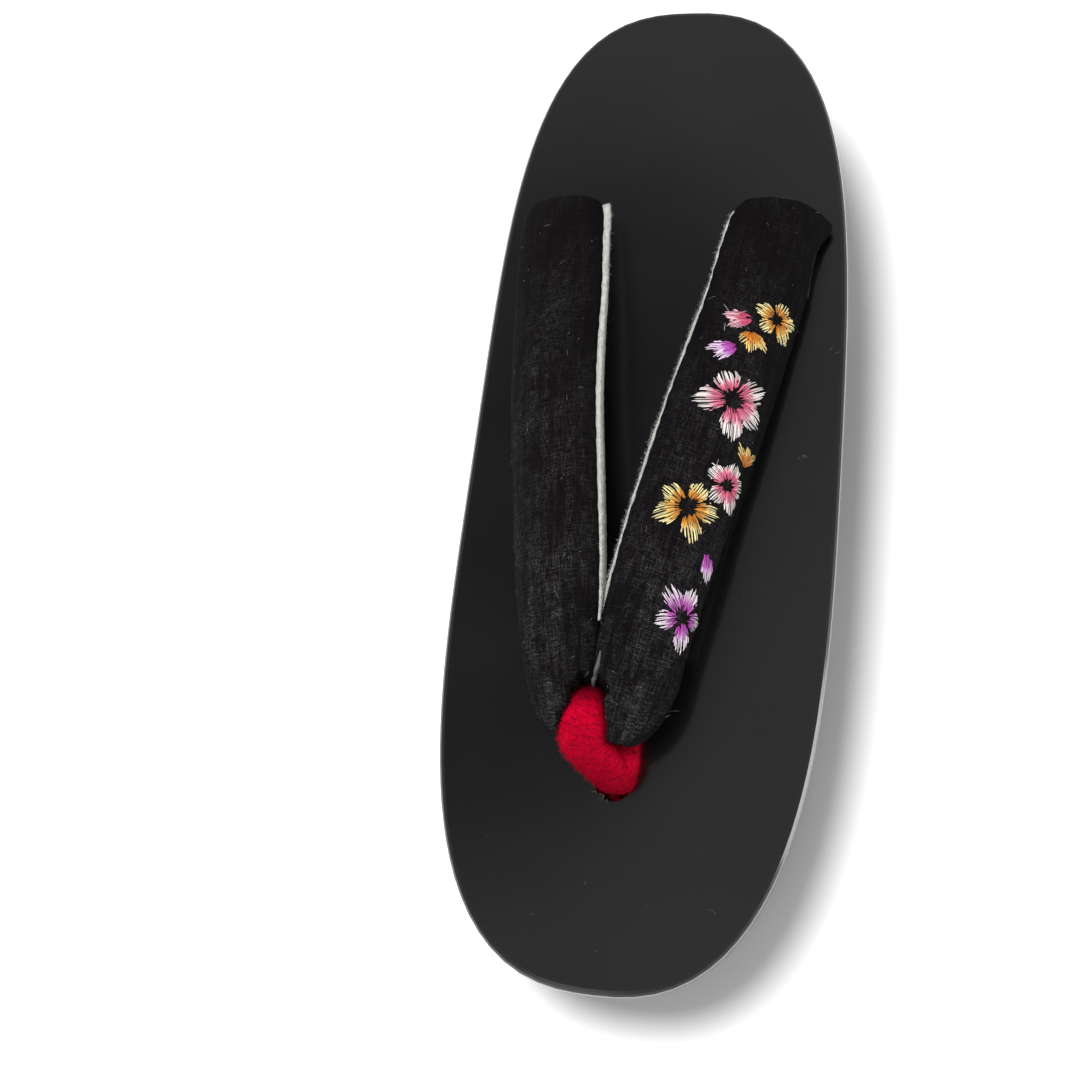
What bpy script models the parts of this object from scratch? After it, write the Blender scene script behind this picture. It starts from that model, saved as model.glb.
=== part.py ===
"""Left shoe of a pair of low lacquered geta, as separate pieces, in metres, +Z up.

The toe points along -Y and the wearer's left, the outer side of this shoe, is +X.
The origin lies on the floor, under the middle of the board.

Pieces
  sole         one carved wooden board with heel block, arch, forefoot and toe spring
  upper        the two padded strap limbs, joined over the board behind the toes
  front_thong  the soft loop between the toes that holds the straps down
"""
import math

import bmesh
import bpy
import numpy as np
from mathutils import Vector

MM = 0.001

# Driving dimensions of the board
LENGTH = 237 * MM
WIDTH = 86 * MM
HEEL_HEIGHT = 37.2 * MM      # top of the board above the floor, at the heel end
TOE_HEIGHT = 26.8 * MM       # the same at the toe end
TOE_LIFT = 15.2 * MM         # underside of the toe above the floor
ARCH_HEIGHT = 20.0 * MM      # underside of the arch above the floor, at the heel block
HEEL_BLOCK = 69.5 * MM       # from the heel end forward to the step
BEND = 1.6 * MM              # the ends of the board swing inward by this much
TAPER = 0.045                # the toe is wider than the middle by this share, the heel narrower
HEEL_FULLNESS = 3.7          # exponents of the outline: how long the sides stay wide
TOE_FULLNESS = 3.4
HEEL_SQUARENESS = 2.65       # and how square the ends are, where 2 is round
TOE_SQUARENESS = 2.5
WALL_SLOPE = 7.6             # degrees that the side leans in towards the floor
TOE_WALL_SLOPE = 2.5         # the same at the toe end
SLOPE_REACH = 0.4            # share of the length over which the side changes at the toe
EDGE_ROUND = 1.4 * MM
STEP_ROUND = 3.0 * MM
SAWN_ROUND = 0.8 * MM        # sanded edges of what is sawn and drilled

# Driving dimensions of the straps
STRAP_WIDTH = 24.0 * MM
STRAP_THICKNESS = 10.5 * MM
STRAP_RISE = 17.0 * MM       # middle of the strap above the board, at its highest
STRAP_CROWN = 0.58           # share of the thickness above the widest line of a section
PAD_SQUARENESS = 0.86        # 1 makes a section an ellipse, less makes it fuller
CORD_DIAMETER = 8.0 * MM     # what passes through the hind holes
KNOT_DIAMETER = 11.0 * MM
CORD_ROOT = 0.6              # the cord starts this share of its diameter up in the padding
BRIDGE_DIAMETER = 5.6 * MM   # the tied cords between the two strap tips
THONG_WIDTH = 12.5 * MM
THONG_THICKNESS = 5.4 * MM
THONG_CROWN = 0.5
THONG_STEM = 7.6 * MM        # what passes through the front hole

# Fits
CLEARANCE = 0.3 * MM         # between touching pieces
PRESS_GAP = 0.35 * MM        # between the thong and the padding that it presses

# Places, as shares of the board's length (+ towards the heel) and width (+ outward)
HIND_HOLE_ALONG = 0.2119
HIND_HOLE_SIDE = 0.300
HIND_HOLE_SLANT = 30         # degrees, the holes run forward as they go down
FRONT_HOLE_ALONG = -0.3112
FRONT_HOLE_SIDE = -0.014
POCKET_DIAMETER = 19 * MM    # hollow under the front hole, for the knot
POCKET_ROOF = 12.5 * MM      # thickness of wood left above the hollow

# Underside of the board seen from the side: share of the length, share of the height
TOE_SPRING = [
    # along, lift
    (-0.255, 0.00),
    (-0.300, 0.16),
    (-0.345, 0.42),
    (-0.390, 0.68),
    (-0.430, 0.86),
    (-0.470, 0.96),
    (-0.520, 1.00),
]
ARCH = [
    # along, lift
    (-0.072, 0.00),
    (-0.040, 0.28),
    (0.000, 0.59),
    (0.060, 0.77),
    (0.150, 0.95),
]

# Sections of the two limbs: share of the length, share of the width, share of the rise,
# shares of the strap's width and thickness, and the lean of its outer edge in degrees
OUTER_LIMB = [
    # along, side, rise, wide, thick, lean
    (0.2644, 0.290, 0.24, 0.38, 0.34, 8),
    (0.2615, 0.290, 0.25, 0.62, 0.56, 9),
    (0.2525, 0.289, 0.28, 0.83, 0.80, 11),
    (0.2337, 0.285, 0.31, 0.92, 0.94, 13),
    (0.2020, 0.270, 0.36, 0.93, 1.00, 15),
    (0.1475, 0.246, 0.44, 0.94, 1.00, 19),
    (0.0881, 0.213, 0.56, 0.97, 1.00, 25),
    (0.0187, 0.173, 0.71, 0.98, 1.00, 29),
    (-0.0605, 0.127, 0.87, 0.95, 1.00, 31),
    (-0.1299, 0.091, 0.98, 0.91, 1.00, 29),
    (-0.1893, 0.061, 1.00, 0.86, 0.98, 25),
    (-0.2339, 0.041, 0.94, 0.80, 0.94, 20),
    (-0.2587, 0.032, 0.88, 0.70, 0.84, 17),
    (-0.2735, 0.027, 0.82, 0.54, 0.66, 14),
    (-0.2805, 0.025, 0.79, 0.32, 0.42, 12),
]
INNER_LIMB = [
    # along, side, rise, wide, thick, lean
    (0.2655, -0.305, 0.24, 0.36, 0.34, 8),
    (0.2625, -0.305, 0.25, 0.60, 0.56, 9),
    (0.2536, -0.304, 0.28, 0.80, 0.80, 10),
    (0.2347, -0.299, 0.32, 0.89, 0.94, 12),
    (0.2030, -0.292, 0.38, 0.93, 1.00, 15),
    (0.1484, -0.276, 0.49, 0.97, 1.00, 19),
    (0.0889, -0.259, 0.62, 0.99, 1.00, 23),
    (0.0194, -0.236, 0.76, 0.99, 1.00, 25),
    (-0.0600, -0.200, 0.90, 0.97, 1.00, 26),
    (-0.1294, -0.171, 0.99, 0.93, 1.00, 24),
    (-0.1890, -0.148, 1.00, 0.86, 0.98, 22),
    (-0.2336, -0.133, 0.94, 0.75, 0.92, 18),
    (-0.2584, -0.126, 0.88, 0.64, 0.82, 15),
    (-0.2733, -0.122, 0.82, 0.49, 0.64, 12),
    (-0.2802, -0.120, 0.79, 0.30, 0.40, 10),
]

# The thong's two legs, from the front hole over the straps' joint and back below it:
# share of the length, share of the width, share of the rise, shares of its width and thickness
THONG_OVER = [
    # along, side, rise, wide, thick
    (-0.3112, -0.014, -0.10, 0.58, 1.14),
    (-0.3112, -0.014, 0.02, 0.58, 1.14),
    (-0.3092, -0.023, 0.24, 0.74, 1.10),
    (-0.3002, -0.041, 0.52, 0.92, 1.05),
    (-0.2863, -0.053, 0.82, 1.00, 1.00),
    (-0.2684, -0.053, 1.03, 0.86, 0.98),
    (-0.2516, -0.051, 1.10, 0.60, 0.95),
    (-0.2387, -0.049, 1.00, 0.42, 0.90),
    (-0.2333, -0.046, 0.78, 0.36, 0.85),
    (-0.2357, -0.041, 0.56, 0.38, 0.85),
]
THONG_UNDER = [
    # along, side, rise, wide, thick
    (-0.2333, -0.044, 0.72, 0.34, 0.80),
    (-0.2367, -0.039, 0.54, 0.38, 0.84),
    (-0.2506, -0.023, 0.36, 0.50, 0.86),
    (-0.2685, 0.001, 0.29, 0.62, 0.88),
    (-0.2864, 0.015, 0.26, 0.64, 0.90),
    (-0.3013, 0.009, 0.21, 0.60, 0.90),
    (-0.3112, -0.006, 0.16, 0.50, 0.90),
]
BRIDGE_ALONG = -0.2564
BRIDGE_SIDE = (-0.113, 0.017)
BRIDGE_RISE = 0.66

# Fineness of the meshes
OUTLINE_POINTS = 132
OUTLINE_SAMPLES = 4000       # taken along the outline before its points are spaced evenly
SECTION_POINTS = 20
THONG_POINTS = 14
KNOT_POINTS = 16
KNOT_RINGS = 8
ROW_STEPS = 3                # sections made between two rows of a table
EDGE_STEPS = 3               # rings around the board's top edge
SANDED_STEPS = 2
HOLE_PASSES = 4              # rounds to find where a slanting hole meets the curved arch
SHARP_ANGLE = 38             # degrees between two faces that meet in an edge
CUT_MARGIN = 12 * MM         # how far a cutter reaches past what it cuts


def top_height(along):
    """Height of the board's flat top above the floor, at a place along Y."""
    share = along / LENGTH + 0.5
    return TOE_HEIGHT + (HEEL_HEIGHT - TOE_HEIGHT) * share


def on_board(along, side, rise):
    """A point given by shares of the length, width and strap rise, above the board."""
    y = along * LENGTH
    return Vector((side * WIDTH, y, top_height(y) + rise * STRAP_RISE))


def smooth_rows(rows, steps):
    """Rows between the rows of a table, on a curve that passes through each of them."""
    table = np.array([rows[0]] + list(rows) + [rows[-1]], dtype=float)
    result = []
    for start in range(len(rows) - 1):
        p0, p1, p2, p3 = table[start:start + 4]
        for step in range(steps):
            t = step / steps
            bend = (2 * p0 - 5 * p1 + 4 * p2 - p3) * t * t
            twist = (3 * p1 - p0 - 3 * p2 + p3) * t ** 3
            result.append(0.5 * (2 * p1 + (p2 - p0) * t + bend + twist))
    result.append(np.array(rows[-1], dtype=float))
    return result


def board_outline(inset):
    """Evenly spaced points of the board's outline, moved inward by inset."""
    angles = np.linspace(0, 2 * math.pi, OUTLINE_SAMPLES, endpoint=False)
    share = np.sin(angles)
    fullness = np.where(share > 0, HEEL_FULLNESS, TOE_FULLNESS)
    squareness = np.where(share > 0, HEEL_SQUARENESS, TOE_SQUARENESS)
    reach = np.maximum(0, 1 - np.abs(share) ** fullness) ** (1 / squareness)
    x = WIDTH / 2 * np.sign(np.cos(angles)) * reach
    x = x * (1 - TAPER * share) - BEND * share ** 2
    y = LENGTH / 2 * share
    closed = np.stack([np.append(x, x[0]), np.append(y, y[0])], axis=1)
    steps = np.hypot(*np.diff(closed, axis=0).T)
    run = np.concatenate([[0], np.cumsum(steps)])
    marks = np.linspace(0, run[-1], OUTLINE_POINTS, endpoint=False)
    points = np.stack([np.interp(marks, run, closed[:, k]) for k in (0, 1)], axis=1)
    along = np.roll(points, -1, axis=0) - np.roll(points, 1, axis=0)
    inward = np.stack([-along[:, 1], along[:, 0]], axis=1)
    inward /= np.linalg.norm(inward, axis=1)[:, None]
    return points, inward * inset


def material(name, color, roughness, metallic=0.0):
    """A plain Principled material in linear colour."""
    result = bpy.data.materials.new(name)
    result.use_nodes = True
    shader = result.node_tree.nodes["Principled BSDF"]
    shader.inputs["Base Color"].default_value = (*color, 1)
    shader.inputs["Roughness"].default_value = roughness
    shader.inputs["Metallic"].default_value = metallic
    result.diffuse_color = (*color, 1)
    return result


def add_object(name, mesh_builder, surface=None):
    """Make an object of a bmesh, with its faces pointing out."""
    bmesh.ops.recalc_face_normals(mesh_builder, faces=mesh_builder.faces)
    mesh = bpy.data.meshes.new(name)
    mesh_builder.to_mesh(mesh)
    mesh_builder.free()
    mesh.shade_smooth()
    mesh.set_sharp_from_angle(angle=math.radians(SHARP_ANGLE))
    if surface:
        mesh.materials.append(surface)
    result = bpy.data.objects.new(name, mesh)
    bpy.context.scene.collection.objects.link(result)
    return result


def as_tool(tool):
    """Mark an object as a cutter or as a shape that is joined to another."""
    tool.hide_render = True
    tool.display_type = "WIRE"
    return tool


def combine(target, tool, operation):
    """Cut a tool from the target, or join it on, with an exact Boolean."""
    modifier = target.modifiers.new(tool.name, "BOOLEAN")
    modifier.operation = operation
    modifier.solver = "EXACT"
    modifier.object = as_tool(tool)


def loft(rings):
    """A closed body through rings of points, capped at both ends."""
    shape = bmesh.new()
    loops = [[shape.verts.new(point) for point in ring] for ring in rings]
    for lower, upper in zip(loops, loops[1:]):
        for k in range(len(lower)):
            following = (k + 1) % len(lower)
            shape.faces.new((lower[k], lower[following], upper[following], upper[k]))
    shape.faces.new(loops[0][::-1])
    shape.faces.new(loops[-1])
    return shape


def side_cutter(name, profile):
    """A cutter with the given outline of (y, z) points, as wide as the board and more."""
    reach = WIDTH / 2 + CUT_MARGIN
    rings = [[Vector((x, y, z)) for y, z in profile] for x in (-reach, reach)]
    return add_object(name, loft(rings))


def rod(name, start, end, diameter):
    """A round rod between two points."""
    axis = end - start
    turn = axis.to_track_quat("Z", "Y")
    rings = []
    for centre in (start, end):
        ring = []
        for k in range(SECTION_POINTS):
            angle = 2 * math.pi * k / SECTION_POINTS
            spoke = Vector((math.cos(angle), math.sin(angle), 0)) * diameter / 2
            ring.append(centre + turn @ spoke)
        rings.append(ring)
    return add_object(name, loft(rings))


def knot(name, centre, diameter):
    """A plain round knot."""
    shape = bmesh.new()
    bmesh.ops.create_uvsphere(
        shape, u_segments=KNOT_POINTS, v_segments=KNOT_RINGS, radius=diameter / 2)
    bmesh.ops.translate(shape, verts=shape.verts, vec=centre)
    return add_object(name, shape)


def arch_roof(along):
    """Height of the arch above the floor, at a place along Y ahead of the heel block."""
    places = [row[0] * LENGTH for row in ARCH] + [LENGTH / 2 - HEEL_BLOCK]
    lifts = [row[1] * ARCH_HEIGHT for row in ARCH] + [ARCH_HEIGHT]
    return float(np.interp(along, places, lifts))


def hind_hole(outward):
    """Both ends of the middle line of a hind hole, and the seat of the knot below it.

    outward is +1 for the outer hole and -1 for the inner one.
    """
    top = on_board(HIND_HOLE_ALONG, outward * HIND_HOLE_SIDE, 0)
    slant = math.radians(HIND_HOLE_SLANT)
    down = Vector((0, -math.sin(slant), -math.cos(slant)))
    bottom = top
    for _ in range(HOLE_PASSES):
        bottom = top + down * (top.z - arch_roof(bottom.y)) / math.cos(slant)
    rise = arch_roof(bottom.y + CORD_DIAMETER / 2) - arch_roof(bottom.y - CORD_DIAMETER / 2)
    roof_slope = math.atan(rise / CORD_DIAMETER)
    drop = (KNOT_DIAMETER / 2 + CLEARANCE) / math.cos(slant + roof_slope)
    return top, bottom, bottom + down * drop


def front_hole():
    """Top of the front hole and the roof of the hollow below it."""
    top = on_board(FRONT_HOLE_ALONG, FRONT_HOLE_SIDE, 0)
    return top, top - Vector((0, 0, POCKET_ROOF))


def make_board(surface):
    """The board: a tapering block, sawn out under toe and arch, drilled for the straps."""
    rings = []
    for step in range(EDGE_STEPS + 1):
        angle = math.pi / 2 * step / EDGE_STEPS
        inset = EDGE_ROUND * (1 - math.sin(angle))
        drop = EDGE_ROUND * (1 - math.cos(angle))
        points, shift = board_outline(inset)
        ring = [Vector((x, y, top_height(y) - drop)) for x, y in points + shift]
        rings.append(ring)
    points, inward = board_outline(1)
    share = points[:, 1:] / LENGTH + 0.5
    slope = np.interp(share, (0, SLOPE_REACH), (TOE_WALL_SLOPE, WALL_SLOPE))
    drop = top_height(points[:, 1:]) - EDGE_ROUND
    floor_outline = points + inward * np.tan(np.radians(slope)) * drop
    rings.append([Vector((x, y, 0)) for x, y in floor_outline])
    sole = add_object("sole", loft(rings), surface)

    floor = -CUT_MARGIN
    spring = [(y * LENGTH, z * TOE_LIFT) for y, z in smooth_rows(TOE_SPRING, ROW_STEPS)]
    spring += [(spring[-1][0], floor), (spring[0][0], floor)]
    combine(sole, side_cutter("toe_spring_cut", spring), "DIFFERENCE")

    step_y = LENGTH / 2 - HEEL_BLOCK
    arch = [(y * LENGTH, z * ARCH_HEIGHT) for y, z in smooth_rows(ARCH, ROW_STEPS)]
    for k in range(EDGE_STEPS + 1):
        angle = math.pi / 2 * (1 - k / EDGE_STEPS)
        corner = (step_y - STEP_ROUND, ARCH_HEIGHT - STEP_ROUND)
        arch.append((corner[0] + STEP_ROUND * math.cos(angle),
                     corner[1] + STEP_ROUND * math.sin(angle)))
    arch += [(step_y, floor), (arch[0][0], floor)]
    combine(sole, side_cutter("arch_cut", arch), "DIFFERENCE")

    for name, outward in (("outer_hole_cut", 1), ("inner_hole_cut", -1)):
        top, bottom, _ = hind_hole(outward)
        reach = (bottom - top).normalized() * CUT_MARGIN / 2
        diameter = CORD_DIAMETER + 2 * CLEARANCE
        combine(sole, rod(name, top - reach, bottom + reach, diameter), "DIFFERENCE")

    top, roof = front_hole()
    lift = Vector((0, 0, CUT_MARGIN / 2))
    diameter = THONG_STEM + 2 * CLEARANCE
    combine(sole, rod("front_hole_cut", top + lift, roof - lift, diameter), "DIFFERENCE")
    floor_point = Vector((roof.x, roof.y, floor))
    combine(sole, rod("pocket_cut", floor_point, roof, POCKET_DIAMETER), "DIFFERENCE")

    sanding = sole.modifiers.new("sanded_edges", "BEVEL")
    sanding.width = SAWN_ROUND
    sanding.segments = SANDED_STEPS
    sanding.limit_method = "ANGLE"
    sanding.angle_limit = math.radians(SHARP_ANGLE)
    return sole


def swept_pad(rows, width, thickness, crown, count, outward, grow=0.0):
    """Rings of oval sections along a table; each may lean, and none sinks into the board."""
    path = [on_board(row[0], row[1], row[2]) for row in rows]
    rings = []
    for place, row in enumerate(rows):
        before = path[max(place - 1, 0)]
        after = path[min(place + 1, len(path) - 1)]
        tangent = (after - before).normalized()
        across = Vector((outward, 0, 0))
        across = (across - tangent * across.dot(tangent)).normalized()
        raised = tangent.cross(across) * outward
        if len(row) > 5:
            lean = math.radians(row[5])
            across, raised = (across * math.cos(lean) - raised * math.sin(lean),
                              raised * math.cos(lean) + across * math.sin(lean))
        half = width * row[3] / 2 + grow
        above = thickness * row[4] * crown + grow
        below = thickness * row[4] * (1 - crown) + grow
        ring = []
        for k in range(count):
            angle = 2 * math.pi * k / count
            cosine, sine = math.cos(angle), math.sin(angle)
            out = math.copysign(abs(cosine) ** PAD_SQUARENESS, cosine) * half
            up = math.copysign(abs(sine) ** PAD_SQUARENESS, sine)
            up *= above if sine > 0 else below
            ring.append(path[place] + across * out + raised * up)
        rings.append(ring)
    return rings


def rest_on_board(rings):
    """Flatten what would sink into the board, so that a pad lies on it."""
    for ring in rings:
        for point in ring:
            point.z = max(point.z, top_height(point.y) + CLEARANCE)
    return rings


def limb(name, table, outward, surface=None):
    """One padded limb of the strap."""
    rows = smooth_rows(table, ROW_STEPS)
    rings = swept_pad(rows, STRAP_WIDTH, STRAP_THICKNESS, STRAP_CROWN, SECTION_POINTS, outward)
    return add_object(name, loft(rest_on_board(rings)), surface)


def thong_leg(name, table, grow=0.0, surface=None):
    """One leg of the front thong; a leg that starts above the board stays above it."""
    rows = smooth_rows(table, ROW_STEPS)
    rings = swept_pad(rows, THONG_WIDTH, THONG_THICKNESS, THONG_CROWN, THONG_POINTS, 1, grow)
    if table[0][2] > 0:
        rings = rest_on_board(rings)
    return add_object(name, loft(rings), surface)


def make_upper(surface):
    """Both limbs, the cords that hold them in the holes and the joint at the front."""
    upper = limb("upper", OUTER_LIMB, 1, surface)
    combine(upper, limb("inner_limb", INNER_LIMB, -1), "UNION")
    for name, outward in (("outer", 1), ("inner", -1)):
        top, _, end = hind_hole(outward)
        inside = top + (top - end).normalized() * CORD_DIAMETER * CORD_ROOT
        combine(upper, rod(name + "_cord", inside, end, CORD_DIAMETER), "UNION")
        combine(upper, knot(name + "_knot", end, KNOT_DIAMETER), "UNION")
    ends = [on_board(BRIDGE_ALONG, side, BRIDGE_RISE) for side in BRIDGE_SIDE]
    combine(upper, rod("bridge", *ends, BRIDGE_DIAMETER), "UNION")
    for name, table in (("over_press", THONG_OVER), ("under_press", THONG_UNDER)):
        combine(upper, thong_leg(name, table, PRESS_GAP), "DIFFERENCE")
    return upper


def make_thong(surface):
    """The loop over and under the straps' joint, its stem in the front hole, and its knot."""
    thong = thong_leg("front_thong", THONG_OVER, surface=surface)
    combine(thong, thong_leg("under_leg", THONG_UNDER), "UNION")
    top, roof = front_hole()
    end = roof - Vector((0, 0, KNOT_DIAMETER / 2 + CLEARANCE))
    combine(thong, rod("stem", top + Vector((0, 0, CLEARANCE)), end, THONG_STEM), "UNION")
    combine(thong, knot("front_knot", end, KNOT_DIAMETER), "UNION")
    return thong


def main():
    for leftover in list(bpy.data.objects):
        bpy.data.objects.remove(leftover)
    make_board(material("black_lacquer", (0.025, 0.025, 0.027), 0.38))
    make_upper(material("black_cotton", (0.012, 0.012, 0.013), 0.90))
    make_thong(material("red_velvet", (0.52, 0.004, 0.022), 0.95))


main()
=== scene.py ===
# %% [markdown]
# # A lacquered geta sandal with embroidered straps
#
# This sandal is for the left foot. A carved wooden board carries two padded cloth straps,
# which meet behind the toes and are held down by a soft red loop, the front thong. The
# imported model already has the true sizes, so it is loaded first and every piece below is
# made in the same space, in metres. The toe points along -Y, and +X is the outer side.

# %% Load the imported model
import math

import bmesh
import bpy
import numpy as np
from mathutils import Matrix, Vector
from mathutils.bvhtree import BVHTree


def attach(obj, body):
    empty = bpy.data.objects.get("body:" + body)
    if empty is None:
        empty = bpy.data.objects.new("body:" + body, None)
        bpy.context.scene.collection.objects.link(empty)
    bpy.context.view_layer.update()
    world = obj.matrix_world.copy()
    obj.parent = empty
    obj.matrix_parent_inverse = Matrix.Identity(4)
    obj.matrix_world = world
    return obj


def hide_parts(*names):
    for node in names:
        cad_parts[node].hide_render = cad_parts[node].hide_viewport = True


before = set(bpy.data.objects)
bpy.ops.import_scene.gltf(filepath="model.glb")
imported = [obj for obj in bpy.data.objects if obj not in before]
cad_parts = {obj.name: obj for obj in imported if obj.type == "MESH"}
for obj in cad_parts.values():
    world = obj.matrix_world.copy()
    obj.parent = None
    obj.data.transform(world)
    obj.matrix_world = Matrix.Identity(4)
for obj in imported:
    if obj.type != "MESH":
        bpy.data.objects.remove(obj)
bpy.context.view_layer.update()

MM = 0.001
scene = bpy.context.scene
print("nodes:", sorted(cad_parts))

# %% [markdown]
# ## Camera
#
# The photograph was taken from above the toe, a little to the outer side. The camera stands
# where the sandal's outlines line up with it. It could also be turned by a constraint that
# points it at an empty, but three fixed angles keep its roll as well.

# %% Camera
CAMERA_PLACE = Vector((55.4, -119.9, 352.1)) * MM
CAMERA_TURN = (18.391, 11.638, 7.248)
LENS = 50
SENSOR = 36

camera_data = bpy.data.cameras.new("photo_camera")
camera_data.lens = LENS
camera_data.sensor_width = SENSOR
camera_data.clip_start = 10 * MM
camera = bpy.data.objects.new("photo_camera", camera_data)
camera.location = CAMERA_PLACE
camera.rotation_euler = [math.radians(angle) for angle in CAMERA_TURN]
scene.collection.objects.link(camera)
scene.camera = camera
print("camera stands", round(CAMERA_PLACE.z / MM), "mm above the floor")

# %% [markdown]
# ## Writing node graphs as sums
#
# Materials and the sky are graphs of nodes. Wiring them by hand is slow to read, so `Reading`
# wraps one socket and lets `+`, `-`, `*` and `/` add the Math nodes. `Graph` adds any other
# kind of node, and `Finish` is the graph of one material.

# %% Helpers for node graphs
class Reading:
    """A value that changes from place to place: one output socket of a node."""

    def __init__(self, graph, socket):
        self.graph, self.socket = graph, socket

    def math(self, operation, *others, clamp=False):
        return self.graph.add("ShaderNodeMath", dict(operation=operation, use_clamp=clamp),
                              dict(enumerate((self, *others))))

    def __add__(self, other):
        return self.math("ADD", other)

    def __sub__(self, other):
        return self.math("SUBTRACT", other)

    def __rsub__(self, other):
        return self.math("MULTIPLY_ADD", -1.0, other)

    def __mul__(self, other):
        return self.math("MULTIPLY", other)

    def __truediv__(self, other):
        return self.math("DIVIDE", other)

    __radd__ = __add__
    __rmul__ = __mul__

    def step(self, low, high):
        """0 below low, 1 above high and a straight ramp between."""
        return ((self - low) / (high - low)).math("ADD", 0.0, clamp=True)

    def ramp(self, ends, values, shape="LINEAR"):
        """From one value to another between two ends."""
        return self.graph.add("ShaderNodeMapRange", dict(interpolation_type=shape),
                              dict(enumerate((self, *ends, *values))))


class Graph:
    """A tree of nodes."""

    def __init__(self, tree):
        self.tree = tree

    def add(self, kind, settings=None, inputs=None, output=0):
        """Add a node: its settings first, then the values or links of its sockets."""
        node = self.tree.nodes.new(kind)
        for setting, value in (settings or {}).items():
            setattr(node, setting, value)
        for key, value in (inputs or {}).items():
            if isinstance(value, Reading):
                self.tree.links.new(value.socket, node.inputs[key])
            else:
                node.inputs[key].default_value = value
        return Reading(self, node.outputs[output])

    def vector(self, operation, *values, output=0):
        """A sum of vectors. Output 1 is for sums that give a number."""
        return self.add("ShaderNodeVectorMath", dict(operation=operation),
                        dict(enumerate(values)), output)

    def split(self, spot):
        """The three numbers of a vector."""
        node = self.add("ShaderNodeSeparateXYZ", None, {0: spot}).socket.node
        return [Reading(self, socket) for socket in node.outputs]


class Finish(Graph):
    """One material: a Principled shader and the nodes that feed it."""

    def __init__(self, name, **constants):
        self.material = bpy.data.materials.new(name)
        self.material.use_nodes = True
        super().__init__(self.material.node_tree)
        self.shader = self.tree.nodes["Principled BSDF"]
        for socket, value in constants.items():
            self.shader.inputs[socket.replace("_", " ")].default_value = value

    def mix(self, share, low, high):
        """A colour between two colours."""
        as_color = [c if isinstance(c, Reading) else (*c, 1) for c in (low, high)]
        return self.add("ShaderNodeMix", dict(data_type="RGBA"),
                        {0: share, 6: as_color[0], 7: as_color[1]}, output=2)

    def place(self):
        """Where a point lies on the object, in millimetres."""
        return self.scaled(self.add("ShaderNodeTexCoord", output=3), (1 / MM, 1 / MM, 1 / MM))

    def cloth_place(self):
        """Where a point lies on a piece of cloth, in millimetres around and along it."""
        return self.add("ShaderNodeUVMap", dict(uv_map="cloth"))

    def scaled(self, spot, factors):
        return self.vector("MULTIPLY", spot, factors)

    def noise(self, spot, scale, detail=2.0, roughness=0.5, distortion=0.0):
        return self.add("ShaderNodeTexNoise", dict(noise_dimensions="3D"),
                        {"Vector": spot, "Scale": scale, "Detail": detail,
                         "Roughness": roughness, "Distortion": distortion})

    def bump(self, height, distance):
        """Raise the surface by height, where height 1 stands for distance in millimetres."""
        relief = self.add("ShaderNodeBump", None,
                          {"Height": height, "Distance": distance * MM, "Strength": 1.0})
        self.feed(Normal=relief)

    def feed(self, **sockets):
        """Link readings to the shader's own sockets."""
        for socket, reading in sockets.items():
            self.tree.links.new(reading.socket, self.shader.inputs[socket.replace("_", " ")])


print("helpers ready")

# %% [markdown]
# ## Floor and light
#
# The sandal stands on white paper under soft lamps. These are area lights, because their
# size sets how soft a shadow is: the window at the back left gives the shadow on the right,
# and a low card on the right brightens the board's rounded edge. The window is hidden from
# reflections, as a polarising filter would do, so it leaves no glare. The sky is bright at
# the horizon and dim above, like the ceiling of a room with large windows. A dark streak
# across it, all that lies near a line between two directions, is mirrored by the lacquer
# between the straps and along the inner side. The Standard view keeps the paper white and
# the threads strong in colour, where Blender's usual view softens both.

# %% Floor and light
FLOOR_REACH = 3.0
AREA_LIGHTS = [
    # name, place in mm, size in mm, power in watts, shows in reflections
    ("window_light", (-215, 110, 860), 400, 9.6, False),
    ("front_fill", (-200, -760, 520), 600, 0.7, True),
    ("right_card", (900, -120, 150), 420, 2.4, True),
]
HORIZON_STRENGTH = 0.60
ZENITH_STRENGTH = 0.33
SKY_BAND = (0.15, 0.75)
STREAK_START = Vector((-0.19, 0.34, 0.92))
STREAK_END = Vector((-0.27, 0.10, 0.96))
STREAK_BAND = (0.07, 0.16)
AIM_HEIGHT = 20 * MM

floor_mesh = bpy.data.meshes.new("paper")
corners = [(x * FLOOR_REACH, y * FLOOR_REACH, 0) for x, y in ((-1, -1), (1, -1), (1, 1), (-1, 1))]
floor_mesh.from_pydata(corners, [], [(0, 1, 2, 3)])
paper_finish = Finish("white_paper", Base_Color=(0.93, 0.93, 0.93, 1), Roughness=0.9)
floor_mesh.materials.append(paper_finish.material)
paper = bpy.data.objects.new("paper", floor_mesh)
scene.collection.objects.link(paper)

aim = Vector((0, 0, AIM_HEIGHT))
for name, place, size, power, reflected in AREA_LIGHTS:
    light = bpy.data.lights.new(name, "AREA")
    light.shape = "DISK"
    light.size = size * MM
    light.energy = power
    lamp = bpy.data.objects.new(name, light)
    lamp.location = Vector(place) * MM
    lamp.rotation_euler = (aim - lamp.location).to_track_quat("-Z", "Y").to_euler()
    lamp.visible_glossy = reflected
    scene.collection.objects.link(lamp)

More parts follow.
